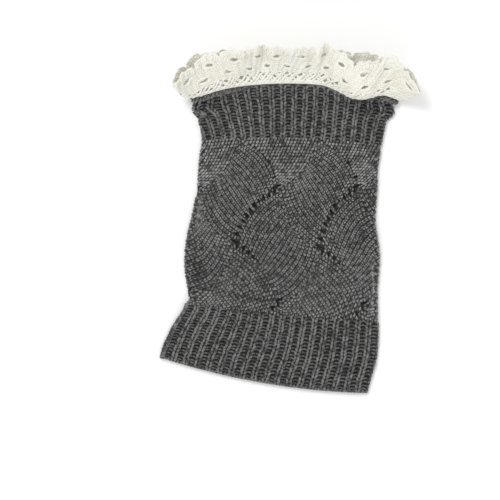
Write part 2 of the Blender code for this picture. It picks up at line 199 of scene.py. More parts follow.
def leaning(lean, aim):
    """The direction that leans this far out of the leg's plane, towards this aim."""
    lean, aim = np.radians(lean), np.radians(aim)
    return stack(np.sin(lean) * np.cos(aim), np.cos(lean), np.sin(lean) * np.sin(aim))


def lip(around, along):
    """At both folds the cloth bulges sideways just under the curled rim."""
    lengthwise = easing(1 - np.abs(along - LIP_MIDDLE) / LIP_HALF)
    at_left = easing(1 - np.abs((around + 0.5) % 1.0 - 0.5) / LIP_SPREAD)
    at_right = easing(1 - np.abs(around % 1.0 - 0.5) / LIP_SPREAD)
    sideways = lengthwise * (LIP_RIGHT * at_right - LIP_LEFT * at_left)
    return stack(sideways, -LIP_DROP * np.abs(sideways), 0.0)


def leg_wall(around, along):
    """The middle of the knitted wall, with the curl at the mouth as a round arc."""
    around, along = np.broadcast_arrays(around, along)
    curl, aim, _, _ = np.moveaxis(spline(FLARES_ROUND, around % 1.0), -1, 0)
    bend = np.radians(np.maximum(curl, LEAST_CURL))
    radius = CURL_LENGTH / bend
    angle = bend * np.maximum(along - CURL_START, 0.0) / CURL_LENGTH
    start = flat_tube(around, np.minimum(along, CURL_START))
    drift = flat_tube(around, along) - start
    drift[..., 1] = radius * np.sin(angle)
    drift = drift + leaning(90.0, aim) * (radius * (1 - np.cos(angle)))[..., None]
    return start + drift + lip(around, along)


def normals_of(surface, around, along, round_step=0.0008, long_step=0.25):
    """The outward normals of a surface, from points close by."""
    across = surface(around + round_step, along) - surface(around - round_step, along)
    upwards = surface(around, along + long_step) - surface(around, along - long_step)
    return unit(np.cross(across, upwards))


def leg_surface(around, along, lift):
    """Points this far out of the middle of the knitted wall, and the wall's normals there."""
    normals = normals_of(leg_wall, around, along)
    return leg_wall(around, along) + normals * np.asarray(lift)[..., None], normals


def topside(around, along):
    """1 where the wall faces up, 0 on the underside, which rests flat on the table."""
    left_x, right_x, _, _ = np.moveaxis(spline(SECTIONS, along), -1, 0)
    _, z = flat_loop(around, right_x - left_x - WALL)
    return easing(0.5 + 0.5 * z / FOLD)


def show(name, points, faces, finish, slot_name):
    """A mesh piece of the leg warmer, without the points that are in no face."""
    used = np.unique(np.concatenate([np.ravel(group) for group in faces]))
    place = np.full(len(points), -1)
    place[used] = np.arange(len(used))
    mesh = bpy.data.meshes.new(name)
    listed = [face for group in faces for face in place[np.asarray(group)].tolist()]
    mesh.from_pydata((points[used] * MM).tolist(), [], listed)
    mesh.shade_smooth()
    mesh.materials.append(finish)
    piece = bpy.data.objects.new(name, mesh)
    bpy.context.scene.collection.objects.link(piece)
    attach(piece, "root")
    return piece


def cloth(name, outer, inner, kept, closed, finish, slot_name):
    """A thin solid cloth between two grids of points, rows by columns. Squares that aren't kept are
    holes. A closed cloth runs all the way round and meets itself."""
    rows, columns = outer.shape[:2]
    points = np.concatenate([outer.reshape(-1, 3), inner.reshape(-1, 3)])
    under = rows * columns
    squares = {(row, column) for row, column in np.argwhere(kept).tolist()}
    faces = []
    for row, column in squares:
        right = (column + 1) % columns
        low, high = row * columns, (row + 1) * columns
        corners = [low + column, low + right, high + right, high + column]
        faces.append(corners)
        faces.append([under + corner for corner in reversed(corners)])
        left = (column - 1) % columns if closed else column - 1
        beside = ((row - 1, column), (row, right), (row + 1, column), (row, left))
        for start, end, neighbour in zip(corners, corners[1:] + corners[:1], beside):
            if neighbour not in squares:
                faces.append([start, under + start, under + end, end])
    return show(name, points, [np.array(faces)], finish, slot_name)


LEG_POINTS = np.array([-0.5, -0.36, 0.0, 0.36, 0.5])  # along one leg of a stitch
LEG_MIDDLE = len(LEG_POINTS) // 2
LEG_TAPER = np.array([0.0, 0.8, 1.0, 0.8, 0.0])
LEG_DIP = 0.35 * (2 * LEG_POINTS) ** 2  # how its ends dive under the next ones
PURL_TAPER = np.array([0.0, 0.8, 1.0, 1.0, 1.0, 0.8, 0.0])


def full_taper(length):
    """A strand of this many points that is full up to its two ends."""
    return np.pad(np.ones(length - 2), 1)


def pairs(first, second):
    """Every pair of two ranges, as two columns."""
    return [grid.reshape(-1, 1) for grid in np.meshgrid(first, second, indexing="ij")]


def joined(laid):
    """Several (points, normals) as one."""
    return [np.concatenate(part) for part in zip(*laid)]


def strands(name, centres, ups, yarn, taper, finish, slot_name, sides=4):
    """Many short lengths of yarn in one piece. Each is a row of points with the cloth's normals,
    and comes to a point at both ends. The yarn is half its width and height."""
    count, length = centres.shape[:2]
    half_width, half_height = yarn
    along = unit(np.gradient(centres, axis=1))
    side = unit(np.cross(along, ups))
    up = np.cross(side, along)
    rings = []
    for turn in range(sides):
        angle = 2 * math.pi * (turn + 0.5) / sides
        width = (half_width * math.cos(angle) * taper)[None, 1:-1, None]
        height = (half_height * math.sin(angle) * taper)[None, 1:-1, None]
        rings.append(centres[:, 1:-1] + side[:, 1:-1] * width + up[:, 1:-1] * height)
    body = np.stack(rings, axis=2).reshape(count, -1, 3)
    points = np.concatenate([centres[:, :1], body, centres[:, -1:]], axis=1)
    points[..., 2] = np.maximum(points[..., 2], 0.0)
    each = points.shape[1]
    turns = np.arange(sides)
    after = (turns + 1) % sides
    first = np.stack([0 * turns, 1 + after, 1 + turns], axis=1)
    end = 1 + (length - 3) * sides
    last = np.stack([each - 1 + 0 * turns, end + turns, end + after], axis=1)
    middle = []
    for ring in range(length - 3):
        low, high = 1 + ring * sides, 1 + (ring + 1) * sides
        middle.append(np.stack([low + turns, low + after, high + after, high + turns], axis=1))
    offsets = (np.arange(count) * each)[:, None, None]
    tips = (np.concatenate([first, last])[None] + offsets).reshape(-1, 3)
    tubes = (np.concatenate(middle)[None] + offsets).reshape(-1, 4)
    return show(name, points.reshape(-1, 3), [tips, tubes], finish, slot_name)


def fill(node, sockets):
    """Gives a node's sockets their values, or links from Shades."""
    for name, value in sockets.items():
        if isinstance(value, Shade):
            value.tree.links.new(value.socket, node.inputs[name])
        else:
            node.inputs[name].default_value = value


class Shade:
    """A value or colour in a finish. Arithmetic adds Math nodes, and node() adds any other."""

    def __init__(self, tree, socket=None):
        self.tree = tree
        self.socket = socket

    def node(self, kind, settings=None, sockets=None, output=0):
        """A node of this type, with its settings and the values or links of its sockets."""
        made = self.tree.nodes.new(kind)
        for name, value in (settings or {}).items():
            setattr(made, name, value)
        fill(made, sockets or {})
        return Shade(self.tree, made.outputs[output])

    def math(self, operation, first, second):
        return self.node("ShaderNodeMath", {"operation": operation}, {0: first, 1: second})

    def __add__(self, other):
        return self.math("ADD", self, other)

    __radd__ = __add__

    def __sub__(self, other):
        return self.math("SUBTRACT", self, other)

    def __rsub__(self, other):
        return self.math("SUBTRACT", other, self)

    def __mul__(self, other):
        return self.math("MULTIPLY", self, other)

    __rmul__ = __mul__

    def blend(self, low, high):
        """Colours mixed by this value."""
        settings = {"data_type": "RGBA", "clamp_factor": True}
        return self.node("ShaderNodeMix", settings, {0: self, 6: low, 7: high}, output=2)

    def noise(self, scale, detail):
        """Noise over this place, from 0 to 1."""
        sockets = {"Vector": self, "Scale": scale, "Detail": detail}
        return self.node("ShaderNodeTexNoise", None, sockets)

    def contrast(self, amount):
        """How far noise lies from its middle, this many times."""
        return (self - 0.5) * amount


FIBRE_LOOK = {"Sheen Roughness": 0.5, "Specular IOR Level": 0.2}


def start_finish(name, roughness, sheen):
    """A new finish: its material, its shader node, and the place on the piece."""
    material = bpy.data.materials.new(name)
    material.use_nodes = True
    shader = material.node_tree.nodes["Principled BSDF"]
    fill(shader, {"Roughness": roughness, "Sheen Weight": sheen, **FIBRE_LOOK})
    return material, shader, Shade(material.node_tree).node("ShaderNodeTexCoord", output=3)


def end_finish(shader, colour, fibres, depth):
    """Gives the finish its colour, and a bump this deep over its fibres."""
    bump = {"Strength": 0.5, "Distance": depth, "Height": fibres}
    fill(shader, {"Base Color": colour, "Normal": fibres.node("ShaderNodeBump", None, bump)})


WARMTH = 1.01  # the greys hold this much more red and less blue than green


def wool(name, deep, light):
    """Charcoal yarn: heathered fibres between two greys, with paler flecks and a fuzzy surface."""
    material, shader, place = start_finish(name, roughness=0.92, sheen=0.25)
    fibres = place.noise(scale=1500.0, detail=3.0)
    patches = place.noise(scale=45.0, detail=2.0)
    flecks = place.noise(scale=420.0, detail=1.0)
    tone = 0.5  # the mean, from deep (0) to light (1)
    shade = fibres.contrast(2.6) + patches.contrast(0.8) + flecks.contrast(3.4) + tone
    greys = [(grey * WARMTH, grey, grey / WARMTH, 1.0) for grey in (deep, light)]
    end_finish(shader, shade.blend(*greys), fibres, depth=0.00025)
    return material


charcoal_wool = wool("charcoal_wool", deep=0.065, light=0.305)
# Painted shade: the ribs' stitches in a darker copy of the same wool.
rib_shade_wool = wool("rib_shade_wool", deep=0.046, light=0.19)
# Painted shade: the purl stitches in the furrows, in a darker copy still.
furrow_shade_wool = wool("furrow_shade_wool", deep=0.032, light=0.135)
# Painted shade: the edges' rolled loops in a darker copy of the wool.
rim_shade_wool = wool("rim_shade_wool", deep=0.035, light=0.16)
# Painted shade: a near-black copy for the cuffs' ground, which shows only between the stitches.
charcoal_shade_ground = wool("charcoal_shade_ground", deep=0.009, light=0.03)

COURSE = 2.3  # one row of stitches, along the leg
STITCH_SINK = 0.35  # how deep a stitch's middle lies under the form
BASE_SINK = 0.75  # and how deep the ground under the stitches lies
LOWEST = 0.05  # the least height of the ground over the table
RIB_CENTRE = 0.5 / 4 / RIBS  # where the first rib's middle lies
RIB_POINTS = 8  # of the ground's grid, across one rib and its furrow
RIB_STEEPNESS = 0.8
CUFF_ROWS = 20

# The ribs' wander to the left and right: how far, how long one wave is, and how many go round.
WANDERS = ((0.0007, 52, 3), (0.0003, 15, 11))

# Their lean over the left fold at the mouth: how far, its middle, its reach over front and back,
# and how much of its easing is past at the rim.
RIB_LEAN, LEAN_MIDDLE, LEAN_FRONT, LEAN_BACK, LEAN_EASED = 0.04, 0.03, 0.27, 0.22, 0.75

# A rib's stitch: how unevenly it lies, in ribs and courses; how far a leg's foot lies aside, and
# how much farther its tip; its length in courses; its ends' share of LEG_DIP; how far it stays from
# the ribbing's lower and upper end.
RIB_UNEVEN, RIB_COURSE_UNEVEN = 0.018, 0.07
RIB_FOOT, RIB_OPENING = 0.08, 0.15
RIB_LENGTH = 1.3
RIB_DIVE = 2.2
LOWER_MARGIN, UPPER_MARGIN = 0.2, 0.1
RIB_YARN = 0.95, 0.75

# The purl stitch between two ribs: its width in ribs, its arch in courses, how much deeper than a
# plain one its middle lies, and how its ends dive.
PURL_WIDTH, PURL_ARCH, PURL_SINK, PURL_DIVE = 0.68, 0.45, 0.05, 2.6
PURL_YARN = 0.75, 0.5


def sway(around, along):
    """How far the ribs wander to the left and right, and lean out at the mouth."""
    wander = sum(
        amount * np.sin(2 * math.pi * (along / length + waves * around))
        for amount, length, waves in WANDERS
    )
    from_middle = (around + (0.5 - LEAN_MIDDLE)) % 1.0 - 0.5
    near = easing(1 - np.maximum(from_middle / LEAN_FRONT, -from_middle / LEAN_BACK))
    lean = RIB_LEAN * easing((along - PANEL_HEAD) / (MOUTH - PANEL_HEAD) * LEAN_EASED) * near
    return wander - lean


def rib_height(around):
    wave = np.cos(2 * math.pi * (around - RIB_CENTRE) * RIBS)
    return RIB_RISE * easing(0.5 + RIB_STEEPNESS * wave)


def cuff(name, start, end):
    """The ground of a ribbed cuff, which replaces its solid."""
    places = np.arange(RIBS * RIB_POINTS) / (RIBS * RIB_POINTS)
    around, along = np.meshgrid(places, np.linspace(start, end, CUFF_ROWS))
    ridges = rib_height(around - sway(around - sway(around, along), along))
    rise = WALL / 2 - BASE_SINK + ridges * topside(around, along)
    outer, _ = leg_surface(around, along, rise)
    inner, _ = leg_surface(around, along, -WALL / 2)
    outer[..., 2] = np.maximum(outer[..., 2], LOWEST)
    kept = np.ones((CUFF_ROWS - 1, around.shape[1]), bool)
    piece = cloth(name + "_cloth", outer, inner, kept, True, charcoal_shade_ground, "wool")
    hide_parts(name)


def ribbing(name, start, end):
    """A cuff's stitches: two legs to each plain stitch of a rib, one arc to each purl stitch."""
    rows = round((end - start) / COURSE)
    course = (end - start) / rows
    rib, row = pairs(np.arange(RIBS), np.arange(rows))
    wobble = np.random.default_rng(5)
    rib = rib + wobble.normal(0.0, RIB_UNEVEN, rib.shape)
    row = row + wobble.normal(0.0, RIB_COURSE_UNEVEN, row.shape)
    legs = []
    for side in (-1, 1):
        spread = RIB_FOOT + RIB_OPENING * (0.5 + LEG_POINTS)
        around = RIB_CENTRE + (rib + side * spread) / RIBS
        along = start + (row + 0.5 + LEG_POINTS * RIB_LENGTH) * course
        along = np.clip(along, start + LOWER_MARGIN, end - UPPER_MARGIN)
        rise = WALL / 2 - STITCH_SINK + RIB_RISE * topside(around, along) - RIB_DIVE * LEG_DIP
        legs.append(leg_surface(around + sway(around, along), along, rise))
    plain = name + "_plain_stitches"
    strands(plain, *joined(legs), RIB_YARN, LEG_TAPER, rib_shade_wool, "wool", sides=6)
    bend = np.linspace(-0.5, 0.5, len(PURL_TAPER))
    around = RIB_CENTRE + (rib + 0.5 + bend * PURL_WIDTH) / RIBS
    along = start + (row + 0.5 + PURL_ARCH * np.cos(bend * math.pi)) * course
    rise = WALL / 2 - STITCH_SINK - PURL_SINK - PURL_DIVE * bend**2
    arcs = leg_surface(around + sway(around, along), along, rise)
    strands(name + "_purl_stitches", *arcs, PURL_YARN, PURL_TAPER, furrow_shade_wool, "wool")


# The loops over a cuff's end: their turn from outside to inside, how far they reach back and what a
# roll and its square add, how far inside the wall they lie, and how a roll hangs over and lifts.
EDGE_LOOPS = 132
EDGE_TURN = np.radians(np.linspace(-60, 220, 12))
EDGE_MIDDLE = 1.4
EDGE_REACH, ROLL_REACH, ROLL_GROWTH = 0.55, 0.6, 0.07
EDGE_INSET = 0.1
ROLL_OVERHANG, ROLL_LIFT = 0.5, 0.15
EDGE_YARN = 0.8, 0.8


def edging(name, end, outwards, roll, slant):
    """A cuff's edge: loops of yarn that slant over the cloth's end, side by side as in a rope. roll
    gives how far the edge rolls over itself, and slant how many loops wide one loop runs for each
    radian over the edge."""
    around = (np.arange(EDGE_LOOPS)[:, None] + slant * (EDGE_TURN - EDGE_MIDDLE)) / EDGE_LOOPS
    rolled = roll(around)
    front = np.maximum(np.cos(EDGE_TURN), 0)
    reach = EDGE_REACH + ROLL_REACH * rolled + ROLL_GROWTH * rolled**2
    beyond = reach * (np.sin(EDGE_TURN) - 1) - EDGE_INSET + ROLL_OVERHANG * rolled * front
    along = end + outwards * beyond
    rise = (WALL / 2 - EDGE_INSET) * np.cos(EDGE_TURN) + rolled * front + ROLL_LIFT * rolled
    centres, _ = leg_surface(around, along, rise)
    step = 0.001  # of the way round
    ups = unit(leg_wall(around + step, along) - leg_wall(around - step, along))
    taper = full_taper(len(EDGE_TURN))
    strands(name, centres, ups, EDGE_YARN, taper, rim_shade_wool, "wool", sides=6)


HEM_ROLL = 0.2
STITCH_OVERLAP = 0.9  # a cuff's stitches run this far over the leg panel
HEM_INSET, MOUTH_INSET = 0.4, 0.6  # and stop this far inside their edge

cuff("hem_cuff", HEM, PANEL_FOOT - SEAM_GAP / 2)
ribbing("hem", HEM + HEM_INSET, PANEL_FOOT + STITCH_OVERLAP)
edging("hem_edge", HEM, -1, lambda around: HEM_ROLL, slant=0.25)

# The leg panel: plain knitting in the same wool, where decreases and eyelets lean the wales into
# leaves that seem to overlap. Each leaf is a low cushion with its own slant of stitches.

LEAVES = 5  # round the leg
FRONT_LEAVES = 2.25
FIRST_LEAF = -0.5 - 0.5 / 12  # the column at the left fold
PANEL_ROWS = 3.25  # half leaves
LEAF_RISE = 1.7
LEAF_ROUND = 2.8  # the higher, the flatter a leaf's top
LEAF_BULGE = 0.075  # how far a leaf's sides bow across the leg
BOW_STEEPNESS = 1.6  # how many times that they bow along it
PATTERN_DRIFT = 0.045  # to the right with each row
MIDDLE_ROW = 1.6  # the row that doesn't drift
HEAD_FADE, FOOT_FADE = 0.5, 0.4  # rows over which the bows start
FOLD_STILL, FOLD_FADE = 0.03, 0.15  # beside a fold nothing moves sideways
END_FADE, END_RISE = 0.25, 0.3  # rows in which the leaves are lower, and by what share
# Rows of half leaves, and how far from the hem they lie.
PANEL_LINES = (0.0, 1.0, 2.0, 3.0, PANEL_ROWS), (PANEL_HEAD, 131.6, 91.5, 53.7, PANEL_FOOT)

WALES = 20  # across one leaf
COURSES = 20  # along one side of it
COURSE_SLANT = 0.59  # how far the courses run off across a leaf, as a share of its side


def leaf_at(column, row):
    """(n, p, q): the leaf's row, and the place in it from its top to its left and right tips."""
    rising = (row + 2 * column) / 2
    falling = (row - 2 * column) / 2
    i, j = np.floor(rising), np.floor(falling)
    return i + j + 1, falling - j, rising - i


def around_of(column):
    """Where a column lies round the leg: the front's leaves are wider than the back's."""
    count = (column - FIRST_LEAF) % LEAVES
    front = count / FRONT_LEAVES / 2
    back = 0.5 + (count - FRONT_LEAVES) / (LEAVES - FRONT_LEAVES) / 2
    return np.where(count <= FRONT_LEAVES, front, back)


def bowed(column, row, n, p, q):
    """Where a place in leaf row n goes as the leaf's sides bow and the pattern drifts."""
    ends = easing(row / HEAD_FADE) * easing((PANEL_ROWS - row) / FOOT_FADE)
    lean = np.where(n % 2 == 1, 1, -1)
    near, far = np.where(lean > 0, p, q), np.where(lean > 0, q, p)
    bow_far = 4 * far * (1 - far) * (1 - 2 * near)
    bow_near = 4 * near * (1 - near) * (1 - 2 * far)
    shift = LEAF_BULGE * (bow_far + bow_near) * lean + PATTERN_DRIFT * (row - MIDDLE_ROW)
    count = (column - FIRST_LEAF) % LEAVES
    at_fold = np.minimum(np.minimum(count, LEAVES - count), np.abs(count - FRONT_LEAVES))
    at_column = column + shift * easing((at_fold - FOLD_STILL) / FOLD_FADE)
    return at_column, row + LEAF_BULGE * BOW_STEEPNESS * (bow_near - bow_far) * ends


def panel_place(at_column, at_row):
    """Where a place in the pattern lies on the leg, inside the panel's two ends."""
    along = np.interp(at_row, *PANEL_LINES)
    along = np.clip(along, PANEL_FOOT + SEAM_GAP / 2, PANEL_HEAD - SEAM_GAP / 2)
    return around_of(at_column), along


def leaf_height(row, p, q):
    """A leaf is a low cushion between its four sides."""
    fade = easing(row / END_FADE) * easing((PANEL_ROWS - row) / END_FADE)
    sides = (1 - np.abs(2 * p - 1) ** LEAF_ROUND) * (1 - np.abs(2 * q - 1) ** LEAF_ROUND)
    return LEAF_RISE * sides * (END_RISE + (1 - END_RISE) * fade)


def leaf_surface(column, row, n, p, q, lift):
    """leg_surface for a place in leaf row n, on top of the leaf."""
    around, along = panel_place(*bowed(column, row, n, p, q))
    rise = leaf_height(row, p, q) * topside(around, along)
    return leg_surface(around, along, lift + rise)


# Eyelets along a leaf's lower side, by leaf row: the place from its side tip to its bottom tip, and
# half the length and width.
EYELETS = {
    0: ((0.60, 0.7, 0.5), (0.84, 1.0, 0.6), (0.97, 1.5, 0.8)),
    1: (
        (0.06, 1.5, 0.7), (0.14, 2.0, 0.85), (0.24, 1.4, 0.8), (0.33, 1.0, 0.7),
        (0.42, 1.4, 0.95), (0.51, 1.3, 0.9), (0.60, 1.2, 0.9), (0.69, 1.2, 0.85),
        (0.78, 1.3, 0.85), (0.88, 1.6, 0.9), (0.97, 1.9, 1.0),
    ),
    2: ((0.04, 1.8, 0.9), (0.13, 1.4, 0.8), (0.22, 1.1, 0.7), (0.31, 0.8, 0.6), (0.96, 1.6, 0.8)),
    3: ((0.04, 1.3, 0.8), (0.13, 1.2, 0.75)),
}
EYELET_LONGER, EYELET_WIDER = 1.75, 1.15  # once the stitches beside it are pulled apart
INSIDE_SIDE = 0.93  # a little inside a leaf's lower side: its eyelets point from there
SAME_SIDE = 2.5  # an eyelet on the leg's other side is farther up or down
FAR_OFF = 9.0  # outside every eyelet

# Stitches with a share under the first number are pushed out of the eyelet, level with the table.
PUSH_WITHIN, PUSH_LEAST, PUSH_STRENGTH = 1.3, 0.3, 0.8


def leaves_of(n):
    """The middles of the leaves in leaf row n."""
    return np.arange(LEAVES) + (0.0 if n % 2 else 0.5)


def eyelet_list():
    """(middle, direction of its length, half length, half width) of every eyelet."""
    found = []
    for n, row in EYELETS.items():
        for k in leaves_of(n):
            for share, half_length, half_width in row:
                far = np.array([INSIDE_SIDE, 1.0])
                p, q = (share, far) if n % 2 else (far, share)
                ends, _ = leaf_surface(k + (q - p) / 2, n - 1 + p + q, n, p, q, WALL / 2)
                size = (half_length * EYELET_LONGER, half_width * EYELET_WIDER)
                found.append((ends[1], unit(ends[1] - ends[0]), *size))
    return found


eyelets = eyelet_list()


def nearest_eyelet(points):
    """How far out of the nearest eyelet's middle each point is (1 on its edge), and the point moved
    out past its edge."""
    least = np.full(points.shape[:-1], FAR_OFF)
    moved = points.copy()
    for middle, direction, half_length, half_width in eyelets:
        offset = points - middle
        lengthwise = (offset @ direction) / half_length
        crosswise = np.cross(offset, direction)[..., 2] / half_width
        share = np.hypot(lengthwise, crosswise)
        share = np.where(np.abs(offset[..., 2]) < SAME_SIDE, share, FAR_OFF)
        least = np.minimum(least, share)
        push = np.maximum(PUSH_WITHIN / np.maximum(share, PUSH_LEAST) - 1, 0.0)[..., None]
        moved = moved + offset * (1, 1, 0) * push * PUSH_STRENGTH
    return least, moved


# Painted shade: a near-black copy of the wool for the panel's ground, which shows only between the
# stitches.
leaf_shade_ground = wool("leaf_shade_ground", deep=0.014, light=0.045)

PANEL_COLUMNS, PANEL_RINGS = 320, 120
columns = FIRST_LEAF + np.arange(PANEL_COLUMNS) / PANEL_COLUMNS * LEAVES
columns, rows = np.meshgrid(columns, np.linspace(PANEL_ROWS, 0.0, PANEL_RINGS))
n, p, q = leaf_at(columns, rows)
outer, _ = leaf_surface(columns, rows, n, p, q, WALL / 2 - BASE_SINK)
outer[..., 2] = np.maximum(outer[..., 2], LOWEST)
around, along = panel_place(*bowed(columns, rows, n, p, q))
inner, _ = leg_surface(around, along, -WALL / 2)
after = np.roll(outer, -1, axis=1)
middles = (outer[:-1] + outer[1:] + after[:-1] + after[1:]) / 4
least, _ = nearest_eyelet(middles)
leg_panel = cloth("leg_panel_cloth", outer, inner, least > 1, True, leaf_shade_ground, "wool")
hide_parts("leg_panel")

# A leaf's stitch: how unevenly it lies, in wales and courses; how far aside a leg lies and how it
# tilts; its length in courses; its ends' share of LEG_DIP; its rows from the panel's ends.
LEAF_UNEVEN, LEAF_COURSE_UNEVEN = 0.035, 0.04
LEAF_ASIDE, LEAF_TILT = 0.19, 0.11
LEAF_LENGTH = 0.68
LEAF_DIVE = 2.0
ROW_MARGIN = 0.03
LEAF_YARN = 0.58, 0.55
EYELET_EDGE = 0.9  # the share at which the stitches start


def leaf_stitches():
    """The legs of every plain stitch in the leaves. None lies quite in line."""
    wobble = np.random.default_rng(3)
    legs = []
    for n in range(1, 5):
        for k in leaves_of(n):
            wale, course = pairs(np.arange(WALES), np.arange(-COURSES, 2 * COURSES))
            wale, course = (wale + 0.5) / WALES, (course + 0.5) / COURSES
            course = course - COURSE_SLANT * wale
            inside = (course > 0.0) & (course < 1.0)
            wale, course = wale[inside][:, None], course[inside][:, None]
            wale = wale + wobble.normal(0.0, LEAF_UNEVEN, wale.shape) / WALES
            course = course + wobble.normal(0.0, LEAF_COURSE_UNEVEN, course.shape) / COURSES
            for side in (-1, 1):
                aside = LEAF_ASIDE - LEAF_TILT * LEG_POINTS
                w = wale + side * aside / WALES
                c = np.clip(course + LEG_POINTS * LEAF_LENGTH / COURSES, 0.0, 1.0)
                p, q = (w, c) if n % 2 else (c, w)
                column, row = k + (q - p) / 2, n - 1 + p + q
                middle = row[:, LEG_MIDDLE]
                fits = (middle > ROW_MARGIN) & (middle < PANEL_ROWS - ROW_MARGIN)
                p, q = p[fits], q[fits]
                lift = WALL / 2 - STITCH_SINK - LEAF_DIVE * LEG_DIP
                legs.append(leaf_surface(column[fits], row[fits], n, p, q, lift))
    return legs


# The half leaves under the mouth cuff: a wale's width in leaves, how many wales and courses fill
# them, and a leg's measures as above.
HEAD_WALE, HEAD_WALES, HEAD_COURSES = 0.043, 24, 16
HEAD_ASIDE, HEAD_TILT = 0.15, 0.08
HEAD_LENGTH = 0.92
HEAD_DIVE = 1.4
CREASE_GAP, CREASE_POINTS = 0.008, 60
LEAST_ROW = 0.01  # at which the leaf under a stitch is looked up


def head_stitches():
    """The legs of the stitches in the half leaves. Their wales start straight down, side by side
    with the crease on their right."""
    legs = []
    rows = np.linspace(0.0, 1.0, CREASE_POINTS)
    for k in leaves_of(0):
        right = bowed(k + (1 - rows) / 2, rows, 0, rows, 1.0)
        left = bowed(k - (1 - rows) / 2, rows, 0, 1.0, rows)
        wale, course = pairs(np.arange(HEAD_WALES), np.arange(HEAD_COURSES))
        for side in (-1, 1):
            row = (course + 0.5 + LEG_POINTS * HEAD_LENGTH) / HEAD_COURSES
            aside = HEAD_ASIDE - HEAD_TILT * LEG_POINTS
            offset = (wale + 0.5 + side * aside) * HEAD_WALE
            column = np.interp(row, right[1], right[0]) - offset
            edge = np.interp(row, left[1], left[0]) + CREASE_GAP
            fits = (column > edge).sum(axis=1) > LEG_MIDDLE
            column = np.maximum(column, edge)
            around, along = panel_place(column[fits], row[fits])
            _, p, q = leaf_at(column[fits], np.clip(row[fits], LEAST_ROW, 1))
            lift = WALL / 2 - STITCH_SINK - HEAD_DIVE * LEG_DIP
            rise = leaf_height(row[fits], p, q) * topside(around, along)
            legs.append(leg_surface(around, along, lift + rise))
    return legs


centres, ups = joined(leaf_stitches() + head_stitches())
least, moved = nearest_eyelet(centres)
shown = least[:, LEG_MIDDLE] > EYELET_EDGE
centres, ups = moved[shown], ups[shown]
on_top = centres[:, LEG_MIDDLE, 2] > MIDDLE_Z
for part, chosen in (("front", on_top), ("back", ~on_top)):
    name = "leaf_stitches_" + part
    strands(name, centres[chosen], ups[chosen], LEAF_YARN, LEG_TAPER, charcoal_wool, "wool")

# The mouth cuff: the same ribbing in charcoal wool, knitted in one with the leg panel below it. It
# curls outwards at the rim under the ruffle's weight, and its edge rolls over itself.

cuff("mouth_cuff", PANEL_HEAD + SEAM_GAP / 2, MOUTH)
ribbing("mouth", PANEL_HEAD - STITCH_OVERLAP, MOUTH - MOUTH_INSET)

RIGHT_FOLD = 0.497  # the middle of the roll at the right fold
BAND_ROLL, LEFT_ROLL, RIGHT_ROLL = 1.8, 0.8, 2.2

# How far round the mouth each roll reaches, and over how much of that it fades: the band's two
# ways, over front and back, and the two folds'.
BAND_FRONT, BAND_BACK = (0.15, 0.09), (0.06, 0.04)
LEFT_REACH, RIGHT_REACH = (0.045, 0.03), (0.035, 0.025)


def within(distance, reach, fade):
    """1 well within this reach, easing to 0 at its end."""
    return easing((reach - distance) / fade)


def rim_roll(around):
    """The rim rolls over itself on the left, and most of all at the two folds."""
    from_left = (around + 0.5) % 1.0 - 0.5
    from_right = np.abs(around % 1.0 - RIGHT_FOLD)
    band = within(from_left, *BAND_FRONT) * within(-from_left, *BAND_BACK)
    left_lip = within(np.abs(from_left), *LEFT_REACH)
    right_lip = within(from_right, *RIGHT_REACH)
    return BAND_ROLL * band + LEFT_ROLL * left_lip + RIGHT_ROLL * right_lip


edging("mouth_edge", MOUTH, 1, rim_roll, slant=0.75)

# The ruffle: one strip of cream cotton lace, gathered and sewn inside the mouth. It has a net
# ground at the seam, close work with two rows of eyelets, and a scalloped edge with small picots.

LACE_WIDTH = 34.0
RIM_GAP = 0.45  # between the rim and the lace's foot
SCALLOPS = 22
SCALLOP_RISE = 4.2  # of a scallop's crown over its ends
SCALLOP_FULLNESS = 0.7  # the lower, the fuller its curve
BUMPS, BUMP_RISE = 3, 1.1  # on one scallop, and their height
LACE_STEPS = 24  # from the seam to any place in the lace
LACE_BEND = 4  # the higher, the sooner the lace turns to its own lean
WAVE_DROP = 0.35  # a crest's fall towards the hem

# The ruffle's waves: the place on the front, from the left fold (0), and how high the free edge
# lies there. The back waves as the front does.
WAVES = np.array([
    (0.000, 0.0), (0.035, -3.0), (0.065, 2.5), (0.105, 5.0), (0.145, 2.5),
    (0.167, -4.5), (0.190, 2.5), (0.250, 5.5), (0.310, 2.5), (0.333, -4.5),
    (0.356, 2.0), (0.415, 5.0), (0.465, 1.0), (0.488, -3.0), (0.500, -1.0),
])


def wave_at(around):
    """The ruffle's height at its free edge. Every wave eases from crest to hollow."""
    around = around % 1.0
    around = np.minimum(around, 1.0 - around)
    keys, heights = WAVES.T
    i = np.clip(np.searchsorted(keys, around, side="right") - 1, 0, len(keys) - 2)
    share = easing((around - keys[i]) / (keys[i + 1] - keys[i]))
    return heights[i] + (heights[i + 1] - heights[i]) * share


def lace_middle(around, across):
    """The middle of the lace, this far from the seam. It leaves the rim in line with the curl,
    turns to its own lean, and waves more and more towards its free edge."""
    around, across = np.broadcast_arrays(around, across)
    curl, aim, lean, lace_aim = np.moveaxis(spline(FLARES_ROUND, around % 1.0), -1, 0)
    place = leg_wall(around, MOUTH) + leaning(curl, aim) * RIM_GAP
    for step in range(LACE_STEPS):
        left = np.maximum(0.0, 1 - (step + 0.5) / LACE_STEPS * across / LACE_WIDTH) ** LACE_BEND
        onwards = leaning(lean + (curl - lean) * left, lace_aim + (aim - lace_aim) * left)
        place = place + onwards * (across / LACE_STEPS)[..., None]
    wave = wave_at(around) * easing(across / LACE_WIDTH)
    return place + (leaning(90.0, lace_aim) - (0.0, WAVE_DROP, 0.0)) * wave[..., None]


